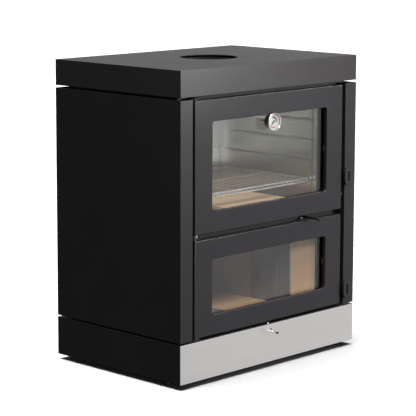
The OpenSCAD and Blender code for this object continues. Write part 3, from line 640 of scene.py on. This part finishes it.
def wireLoop(name, low, high, height, radius, corner):
    # a closed wire round a rectangle with bent corners
    bpy.ops.object.select_all(action="DESELECT")
    bpy.ops.mesh.primitive_plane_add(size=1)
    loop = bpy.context.object
    loop.location = ((low[0] + high[0]) / 2, (low[1] + high[1]) / 2, height)
    loop.scale = (high[0] - low[0], high[1] - low[1], 1)
    bentOutline(settle(loop, name), corner)
    bpy.ops.object.convert(target="CURVE")
    bpy.context.object.data.bevel_depth = radius
    bpy.context.object.data.bevel_resolution = 4
    bpy.ops.object.convert(target="MESH")
    return bpy.context.object


def makeRack():
    facts = rackFacts
    low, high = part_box("oven_rack")
    thick, thin, corner = facts["frameRadius"], facts["wireRadius"], facts["corner"]
    height = low.z + thick
    lower = height - facts["drop"]
    top = height + thick
    back = high.y - thick
    front = low.y + thick
    left, right = low.x + thick, high.x - thick
    middle = (front + back) / 2
    parts = [
        wireLoop("rackLoop", (left, front), (right, back), height, thick, corner),
        addRod("rackBar", (left, middle, height), (right, middle, height), thick, facts["frameSides"]),
        addRod("rackLowerBar", (left + corner, front, lower), (right - corner, front, lower), thick,
               facts["frameSides"], facts["barEnd"]),
    ]
    # the cross wires bend down at the front and end on the lower wire
    bend = low.y - thin
    along = addRod("rackWire", (0, bend, top), (0, back + facts["lap"], top), thin,
                   facts["wireSides"], facts["wireEnd"])
    down = addRod("rackWireEnd", (0, bend, lower), (0, bend, top + thin), thin,
                  facts["wireSides"], facts["wireEnd"])
    first = joinPieces("rackWire", [along, down])
    count = math.floor((2 * right - corner) / facts["pitch"] / 2)
    for i in range(-count, count + 1):
        if i:
            parts.append(copyPiece(first, "rackWireCopy", (i * facts["pitch"], 0, 0)))
    rack = joinPieces("oven_rack_wires", parts + [first])
    smooth(rack)
    fit(rack, "oven_rack", finishes["rackChrome"])
    print("rack: %d cross wires" % (2 * count + 1))


makeRack()


ropeFacts = {
    "radius": 5.5 * mm, "corner": 9 * mm,
    "strands": 8, "strandSides": 4, "groove": 0.10,     # the groove is a share of the radius
    "lay": 34 * mm,                  # length in which a strand goes round once
    "step": 5 * mm,
}


def ropeSection(radius, strands):
    # the outline of the rope across its length: one lobe for each strand
    groove = ropeFacts["groove"]
    bpy.ops.object.select_all(action="DESELECT")
    bpy.ops.mesh.primitive_circle_add(vertices=strands * ropeFacts["strandSides"], radius=radius)
    section = bpy.context.object
    for vertex in section.data.vertices:
        angle = math.atan2(vertex.co.y, vertex.co.x)
        vertex.co *= 1 - groove + groove * abs(math.cos(strands * angle / 2))
    bpy.ops.object.convert(target="CURVE")
    return bpy.context.object


def makeRope(node):
    facts = ropeFacts
    low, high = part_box(node)
    radius = facts["radius"]
    width, height = high.x - low.x - 2 * radius, high.z - low.z - 2 * radius
    section = ropeSection(radius, facts["strands"])
    bpy.ops.object.select_all(action="DESELECT")
    bpy.ops.mesh.primitive_plane_add(size=1)
    rope = bpy.context.object
    rope.scale = (width, height, 1)
    rope.rotation_euler = (math.pi / 2, 0, 0)
    rope.location = (0, (low.y + high.y) / 2, (low.z + high.z) / 2)
    bentOutline(settle(rope, node + "_laid"), facts["corner"])
    # the four straight runs are cut into short steps so that the strands can turn
    chooseEdges(rope, lambda a, b: (a - b).length > 4 * facts["corner"])
    bpy.ops.mesh.subdivide(number_cuts=round((width + height) / 2 / facts["step"]))
    leaveEdit()
    bpy.ops.object.convert(target="CURVE")
    points = bpy.context.object.data.splines[0].points
    around = 2 * (width + height)
    turns = round(around / facts["lay"])
    travelled = 0.0
    for i, point in enumerate(points):
        point.tilt = 2 * math.pi * turns * travelled / around
        travelled += (points[(i + 1) % len(points)].co - point.co).length
    bpy.context.object.data.bevel_mode = "OBJECT"
    bpy.context.object.data.bevel_object = section
    bpy.ops.object.convert(target="MESH")
    rope = bpy.context.object
    bpy.data.objects.remove(section)
    enterEdit(rope)
    bpy.ops.mesh.remove_doubles(threshold=weld)
    bpy.ops.mesh.normals_make_consistent(inside=False)
    leaveEdit()
    smooth(rope, 60)
    fit(rope, node, finishes["rope"])
    print("rope: %s, %d strand turns" % (node, turns))


makeRope("oven_door_rope")
makeRope("firebox_door_rope")


dialFacts = {                        # inner, outer, hotWidth and stripe are shares of the dial's radius
    "lowAngle": 225, "sweep": 270, "marks": 10, "perMark": 3, "steps": 64,
    "longInner": 0.74, "shortInner": 0.80, "markOuter": 0.88,
    "longWidth": 0.75 * mm, "shortWidth": 0.4 * mm, "markHeight": 0.06 * mm,
    "hotFrom": 0.42, "hotTo": 0.86, "hotBars": 26,
    "hotInner": 0.44, "hotOuter": 0.68, "hotWidth": 0.085, "hotHeight": 0.05 * mm,
    "stripeLeft": -0.42, "stripeRight": 0.30, "stripeLow": -0.72, "stripeHigh": -0.56,
    "lensRise": 1.2, "lensEdge": 1.5,        # in millimetres
    "needleEdge": 0.08 * mm,
}


def dialBar(name, centre, angle, inner, outer, width, front, thickness):
    # one upright bar on the dial, turned clockwise from straight up
    bar = addBox(name, (-width / 2, 0, inner), (width / 2, thickness, outer))
    bar.rotation_euler = (0, math.radians(angle), 0)
    bar.location = (centre.x, front - thickness, centre.z)
    return settle(bar, name)


def turnedPiece(node, name, outline, front, finish):
    # a round piece of the thermometer, turned about the line through the dial's middle
    piece = turnProfile(name, outline, front, (0, 1, 0), dialFacts["steps"])
    fit(piece, node, finishes[finish])


def printedOn(name, bars, finish):
    # joins the bars into one piece that rides with the dial
    mark = joinPieces(name, bars)
    mark.data.materials.append(finishes[finish])
    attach(mark, bodyOf["thermometer_dial"])


def makeThermometer():
    facts = dialFacts
    caseLow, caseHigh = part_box("thermometer_case")
    low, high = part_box("thermometer_bezel")
    dialLow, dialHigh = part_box("thermometer_dial")
    lensLow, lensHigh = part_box("thermometer_lens")
    glassLow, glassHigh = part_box("oven_door_glass")
    centre = (low + high) / 2
    face = (dialHigh.x - dialLow.x) / 2

    # each outline is in millimetres: out from the middle, and behind the front
    r, t = (high.x - low.x) / 2 / mm, (high.y - low.y) / mm
    rim = [(r - 3, 2.0), (r - 3, 0.6), (r - 2.6, 0.2), (r - 1.9, 0), (r - 0.9, 0.15),
           (r - 0.25, 0.7), (r, 1.5), (r, t - 0.3), (r - 0.3, t), (r - 1.3, t),
           (r - 1.5, t - 0.3), (r - 1.5, 2.0), (r - 3, 2.0)]
    turnedPiece("thermometer_bezel", "thermometer_bezel_turned", inMillimetres(rim),
                Vector((centre.x, low.y, centre.z)), "chrome")

    back = (caseHigh.y - caseLow.y) / mm
    glassBack = (glassHigh.y - caseLow.y) / mm
    glassFront = (glassLow.y - caseLow.y) / mm
    cup = r - 1.5
    case = [(0, 5.0), (cup - 1.6, 5.0), (cup - 1.6, 0.3), (cup - 1.3, 0), (cup - 0.2, 0),
            (cup - 0.05, 0.3), (cup - 0.05, 7.0), (cup - 0.9, 7.9), (r - 6, 8.0), (r - 6, 9.0),
            (r - 6.6, 9.4), (r - 6.6, 11.2), (r - 6, 11.6), (r - 6, glassFront - 0.6),
            (r - 6.6, glassFront), (4, glassFront), (4, glassBack), (4, back - 3),
            (3.2, back - 0.8), (1.5, back), (0, back)]
    turnedPiece("thermometer_case", "thermometer_case_turned", inMillimetres(case),
                Vector((centre.x, caseLow.y, centre.z)), "darkChrome")

    plate = [(0, 0), (face * 0.93, 0), (face * 0.985, 0.15 * mm), (face, 0.4 * mm), (face, 1 * mm),
             (0, 1 * mm)]
    turnedPiece("thermometer_dial", "thermometer_dial_plate", plate,
                Vector((centre.x, dialLow.y, centre.z)), "dial")

    marks = []
    steps = facts["marks"] * facts["perMark"]
    for i in range(steps + 1):
        angle = facts["lowAngle"] + facts["sweep"] * i / steps
        size = "long" if i % facts["perMark"] == 0 else "short"
        marks.append(dialBar("dialMark", centre, angle, face * facts[size + "Inner"],
                             face * facts["markOuter"], facts[size + "Width"], dialLow.y,
                             facts["markHeight"]))
    printedOn("thermometer_dial_marks", marks, "needle")

    hot = []
    for i in range(facts["hotBars"]):
        share = facts["hotFrom"] + (facts["hotTo"] - facts["hotFrom"]) * (i + 0.5) / facts["hotBars"]
        angle = facts["lowAngle"] + facts["sweep"] * share
        hot.append(dialBar("dialHot", centre, angle, face * facts["hotInner"],
                           face * facts["hotOuter"], face * facts["hotWidth"], dialLow.y,
                           facts["hotHeight"]))
    stripeLow = (centre.x + face * facts["stripeLeft"], dialLow.y - facts["hotHeight"],
                 centre.z + face * facts["stripeLow"])
    stripeHigh = (centre.x + face * facts["stripeRight"], dialLow.y,
                  centre.z + face * facts["stripeHigh"])
    hot.append(addBox("dialBand", stripeLow, stripeHigh))
    printedOn("thermometer_hot_band", hot, "orange")

    reach = (lensHigh.x - lensLow.x) / 2
    rise, edge = facts["lensRise"], facts["lensEdge"]
    slopes = [math.pi / 2 * i / 10 for i in range(11)]
    dome = [(reach * math.sin(a), (rise - rise * math.cos(a)) * mm) for a in slopes]
    dome += [(reach, edge * mm), (0, edge * mm)]
    turnedPiece("thermometer_lens", "thermometer_lens_domed", dome,
                Vector((centre.x, lensLow.y, centre.z)), "lens")
    needle = softened("thermometer_needle", facts["needleEdge"], 1, whole=False)
    fit(needle, "thermometer_needle", finishes["needle"])
    print("thermometer: %d marks" % len(marks))


makeThermometer()


knobFacts = {
    "wrap": math.pi * 0.80,          # how far the ball's outline runs before the neck
    "ballPoints": 15, "ribs": 4, "firstRib": 0.22, "ribPitch": 0.16, "steps": 32,
    "rodEnd": 0.5 * mm,
}


def makeBall():
    low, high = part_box("air_knob")
    centre = (low + high) / 2
    radius = (high.x - low.x) / 2
    wrap, points = knobFacts["wrap"], knobFacts["ballPoints"]
    angles = [wrap * i / (points - 1) for i in range(points)]
    ball = [(radius * math.sin(a), radius - radius * math.cos(a)) for a in angles]
    ball += [(radius * math.sin(wrap), high.y - low.y), (0, high.y - low.y)]
    front = Vector((centre.x, low.y, centre.z))
    fit(turnProfile("air_knob_ball", ball, front, (0, 1, 0), knobFacts["steps"]),
        "air_knob", finishes["knob"])


def makeGrip():
    low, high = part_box("damper_knob")
    centre = (low + high) / 2
    radius, length = (high.x - low.x) / 2, high.y - low.y
    grip = [(0, 0), (radius * 0.55, 0), (radius * 0.80, 0.05 * length), (radius * 0.92, 0.14 * length)]
    for i in range(knobFacts["ribs"]):
        along = (knobFacts["firstRib"] + knobFacts["ribPitch"] * i) * length
        grip += [(radius, along), (radius, along + 0.07 * length), (radius * 0.9, along + 0.10 * length)]
    grip += [(radius, 0.88 * length), (radius * 0.9, length), (0, length)]
    front = Vector((centre.x, low.y, centre.z))
    fit(turnProfile("damper_knob_ribbed", grip, front, (0, 1, 0), knobFacts["steps"]),
        "damper_knob", finishes["knob"])


def makeRod(node, finish):
    low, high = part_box(node)
    centre = (low + high) / 2
    rod = addRod(node + "_turned", (centre.x, low.y, centre.z), (centre.x, high.y, centre.z),
                 (high.x - low.x) / 2, knobFacts["steps"], knobFacts["rodEnd"])
    fit(rod, node, finishes[finish])


footFacts = {                        # in millimetres
    "collarRadius": 8, "collarTop": 14.7, "threadFrom": 15.2, "threadPitch": 1.5,
    "threadRadius": 4.95, "rootRadius": 4.2, "plainEnd": 16, "steps": 40,
}


def makeFoot(node):
    # a round pad, a collar and a screw thread above it
    low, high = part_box(node)
    centre = (low + high) / 2
    pad = (high.x - low.x) / 2 / mm
    top = (high.z - low.z) / mm
    collar, collarTop = footFacts["collarRadius"], footFacts["collarTop"]
    pitch, root = footFacts["threadPitch"], footFacts["rootRadius"]
    outline = [(0, 0), (pad - 2.5, 0), (pad - 1.2, 0.4), (pad - 0.3, 1.6), (pad, 3.0), (pad, 7.5),
               (pad - 0.5, 9.0), (pad - 2, 10), (collar + 0.6, 10), (collar, 10.4),
               (collar, collarTop - 0.5), (collar - 0.4, collarTop), (5, collarTop)]
    for i in range(math.floor((top - footFacts["plainEnd"]) / pitch)):
        ridge = footFacts["threadFrom"] + pitch * i
        outline += [(footFacts["threadRadius"], ridge), (root, ridge + pitch / 2)]
    outline += [(root, top - 0.6), (root - 0.6, top), (0, top)]
    foot = turnProfile(node + "_turned", inMillimetres(outline),
                       Vector((centre.x, centre.y, low.z)), (0, 0, 1), footFacts["steps"])
    fit(foot, node, finishes["foot"])


makeBall()
makeGrip()
makeRod("air_rod", "chrome")
makeRod("damper_rod", "blackScrew")
for footNode in [node for node in nodes if node.startswith("foot_")]:
    makeFoot(footNode)
print("controls and feet: done")


screwFacts = {
    "recess": 0.5,                   # the socket's share of the head
    "recessDepth": 0.9 * mm, "steps": 24,
    "brightBelow": 0.5,              # upright screws are bright zinc under this height
}


def panScrew(name, top, inward, headRadius, headHeight, shankRadius, length):
    # a pan head with a six-sided socket, on a plain shank
    socket = headRadius * screwFacts["recess"]
    depth = screwFacts["recessDepth"]
    hair = 0.001 * mm
    outline = [(0, 0), (socket, 0), (headRadius * 0.72, 0.06 * headHeight),
               (headRadius * 0.92, 0.3 * headHeight), (headRadius, 0.65 * headHeight),
               (headRadius, headHeight), (shankRadius, headHeight),
               (shankRadius, headHeight + length), (0, headHeight + length)]
    screw = turnProfile(name, outline, (0, 0, 0), (0, 0, 1), screwFacts["steps"])
    chooseFaces(screw, lambda middle, normal: middle.z < hair and middle.xy.length < socket)
    bpy.ops.mesh.dissolve_faces()
    bpy.ops.mesh.inset(thickness=hair / 10)
    bpy.ops.mesh.extrude_region_move(TRANSFORM_OT_translate={"value": (0, 0, depth)})
    leaveEdit()
    sixth = math.pi / 3
    for vertex in screw.data.vertices:       # the round socket's wall is drawn in to a hexagon
        spread = vertex.co.xy.length
        if 0.9 * socket < spread < 1.01 * socket and vertex.co.z < 1.01 * depth:
            angle = math.atan2(vertex.co.y, vertex.co.x) % sixth - sixth / 2
            vertex.co.xy *= math.cos(sixth / 2) / math.cos(angle)
    screw.rotation_mode = "QUATERNION"
    screw.rotation_quaternion = Vector(inward).to_track_quat("Z", "Y")
    screw.location = top
    settle(screw, name)
    smooth(screw)
    return screw


def makeScrews():
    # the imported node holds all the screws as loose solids, so each one's place comes from its own solid
    loose = copyNode("panel_screws", "looseScrews")
    enterEdit(loose)
    bpy.ops.mesh.separate(type="LOOSE")
    leaveEdit()
    solids = [o for o in bpy.context.scene.objects if o.name.startswith("looseScrews")]
    for i, solid in enumerate(sorted(solids, key=lambda o: o.name)):
        spots = [vertex.co.copy() for vertex in solid.data.vertices]
        low = Vector([min(spot[k] for spot in spots) for k in range(3)])
        high = Vector([max(spot[k] for spot in spots) for k in range(3)])
        centre, size = (low + high) / 2, high - low
        along = max(range(3), key=lambda k: size[k])
        side = (along + 1) % 3
        headRadius = size[side] / 2
        wide = [max((spot - centre)[side] for spot in spots if abs(spot[along] - end) < 0.01 * mm)
                for end in (low[along], high[along])]
        headAtHigh = wide[1] > wide[0]
        inward = Vector([0, 0, 0])
        inward[along] = -1 if headAtHigh else 1
        top = centre.copy()
        top[along] = high[along] if headAtHigh else low[along]
        rims = [spot for spot in spots if (spot - centre)[side] > headRadius * 0.99]
        headHeight = max(abs(spot[along] - top[along]) for spot in rims)
        screw = panScrew("panel_screw_%d" % (i + 1), top, inward, headRadius, headHeight, min(wide),
                         size[along] - headHeight)
        bright = along == 0 or (along == 2 and top.z < screwFacts["brightBelow"])
        fit(screw, "panel_screws", finishes["stud" if bright else "blackScrew"])
        bpy.data.objects.remove(solid)
    print("screws: %d" % len(solids))


makeScrews()


lightFacts = {                       # place, what it faces, width, height, watts, what it lights
    "lowCard": ((2.2, -2.4, -0.2), (0.0, -0.2, -0.2), 4.5, 2.6, 30.0, "bare"),
    "paintCard": ((2.2, -2.4, -0.2), (0.0, -0.2, -0.2), 4.5, 2.6, 18.0, "painted"),
    "highlight": ((1.3, -2.4, 1.0), (-0.3, -0.2, 0.8), 0.5, 0.4, 104.0, "painted"),
    "edgeGleam": ((2.3, -1.2, 2.3), (0.0, -0.2, 0.6), 0.4, 0.4, 40.0, "painted"),
    "ovenGlow": ((1.6, -2.4, 0.64), (-0.3, -0.2, 0.8), 0.8, 0.9, 4.5, "bare"),
    "key": ((-0.8, -2.9, 2.9), (0.0, -0.2, 0.45), 1.6, 1.2, 125.0, "all"),
    "backCard": ((3.5, 3.3, 0.9), (0.0, 0.0, 0.85), 6.0, 2.5, 22.0, "all"),
    "leftCard": ((-3.5, 1.0, 1.0), (0.0, 0.0, 0.5), 2.0, 2.0, 8.0, "all"),
}
sunFacts = {"strength": 5.4, "spread": 40, "tilt": (-4, -4, 0)}
stageFacts = {"floorSize": 60, "domeRadius": 28, "skyColour": (0.9, 0.93, 1.0, 1), "skyStrength": 0.07}
cameraFacts = {"place": (-3.5723, -3.4059, 1.2760), "azimuth": -46.194, "pitch": 8.712, "roll": 0.197,
               "lens": 151.64, "sensor": 36, "shift": -0.08, "reach": 100}


def paperWhite():
    paper = Finish("studio_paper")
    grain = paper.noise(300.0, 2.0)
    tone = paper.mix(grain, (0.86, 0.86, 0.86), (0.88, 0.88, 0.88))
    return paper.done(paper.principled(Base_Color=tone, Roughness=0.9))


def backdropWhite():
    light = Finish("studio_white")
    glow = light.node("ShaderNodeEmission", {}, {"Color": (1, 1, 1, 1), "Strength": 1.0}, "Emission")
    return light.done(glow)


def hideFrom(piece, *rays):
    for ray in rays:
        setattr(piece, "visible_" + ray, False)


def makeStage():
    # the floor and the backdrop are seen, and throw no light of their own on the stove
    bpy.ops.object.select_all(action="DESELECT")
    bpy.ops.mesh.primitive_plane_add(size=stageFacts["floorSize"])
    floor = bpy.context.object
    floor.name = "studio_floor"
    floor.data.materials.append(paperWhite())
    hideFrom(floor, "glossy", "diffuse", "shadow")
    bpy.ops.object.select_all(action="DESELECT")
    bpy.ops.mesh.primitive_uv_sphere_add(segments=32, ring_count=16, radius=stageFacts["domeRadius"])
    dome = bpy.context.object
    dome.name = "studio_backdrop"
    dome.data.materials.append(backdropWhite())
    hideFrom(dome, "glossy", "diffuse", "shadow", "transmission")
    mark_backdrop(floor, dome)
    world = bpy.data.worlds.new("studio")
    bpy.context.scene.world = world
    world.use_nodes = True
    sky = world.node_tree.nodes["Background"]
    sky.inputs["Color"].default_value = stageFacts["skyColour"]
    sky.inputs["Strength"].default_value = stageFacts["skyStrength"]


def addSoftbox(name, place, target, width, height, watts, lit):
    # a lit card that faces its target and lights one group of pieces
    lamp = bpy.data.lights.new(name, "AREA")
    lamp.shape = "RECTANGLE"
    lamp.size = width
    lamp.size_y = height
    lamp.energy = watts
    softbox = bpy.data.objects.new(name, lamp)
    softbox.location = place
    softbox.rotation_mode = "QUATERNION"
    softbox.rotation_quaternion = (Vector(target) - Vector(place)).to_track_quat("-Z", "Y")
    bpy.context.scene.collection.objects.link(softbox)
    softbox.light_linking.receiver_collection = litPieces[lit]


def addSun(strength, spread, tilt):
    lamp = bpy.data.lights.new("overhead", "SUN")
    lamp.energy = strength
    lamp.angle = math.radians(spread)
    sun = bpy.data.objects.new("overhead", lamp)
    sun.rotation_euler = [math.radians(angle) for angle in tilt]
    bpy.context.scene.collection.objects.link(sun)


def makeCamera():
    facts = cameraFacts
    azimuth, pitch = math.radians(facts["azimuth"]), math.radians(facts["pitch"])
    level = math.cos(pitch)
    back = Vector((math.sin(azimuth) * level, -math.cos(azimuth) * level, math.sin(pitch)))
    roll = Quaternion((0, 0, 1), math.radians(facts["roll"]))
    camera = bpy.data.objects.new("camera", bpy.data.cameras.new("camera"))
    camera.data.lens = facts["lens"]
    camera.data.sensor_width = facts["sensor"]
    camera.data.shift_y = facts["shift"]
    camera.data.clip_end = facts["reach"]
    camera.location = facts["place"]
    camera.rotation_mode = "QUATERNION"
    camera.rotation_quaternion = back.to_track_quat("Z", "Y") @ roll
    bpy.context.scene.collection.objects.link(camera)
    bpy.context.scene.camera = camera


makeStage()
litPieces = {lit: bpy.data.collections.new(lit) for lit in ("all", "painted", "bare")}
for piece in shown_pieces():            # the softboxes light the stove and not the floor
    isPainted = any(coat.name.startswith("paint_") for coat in piece.data.materials)
    litPieces["all"].objects.link(piece)
    litPieces["painted" if isPainted else "bare"].objects.link(piece)
for lightName, facts in lightFacts.items():
    addSoftbox(lightName, *facts)
addSun(**sunFacts)
makeCamera()
bpy.context.scene.view_settings.view_transform = "Standard"
print("stage, lights and camera: done")
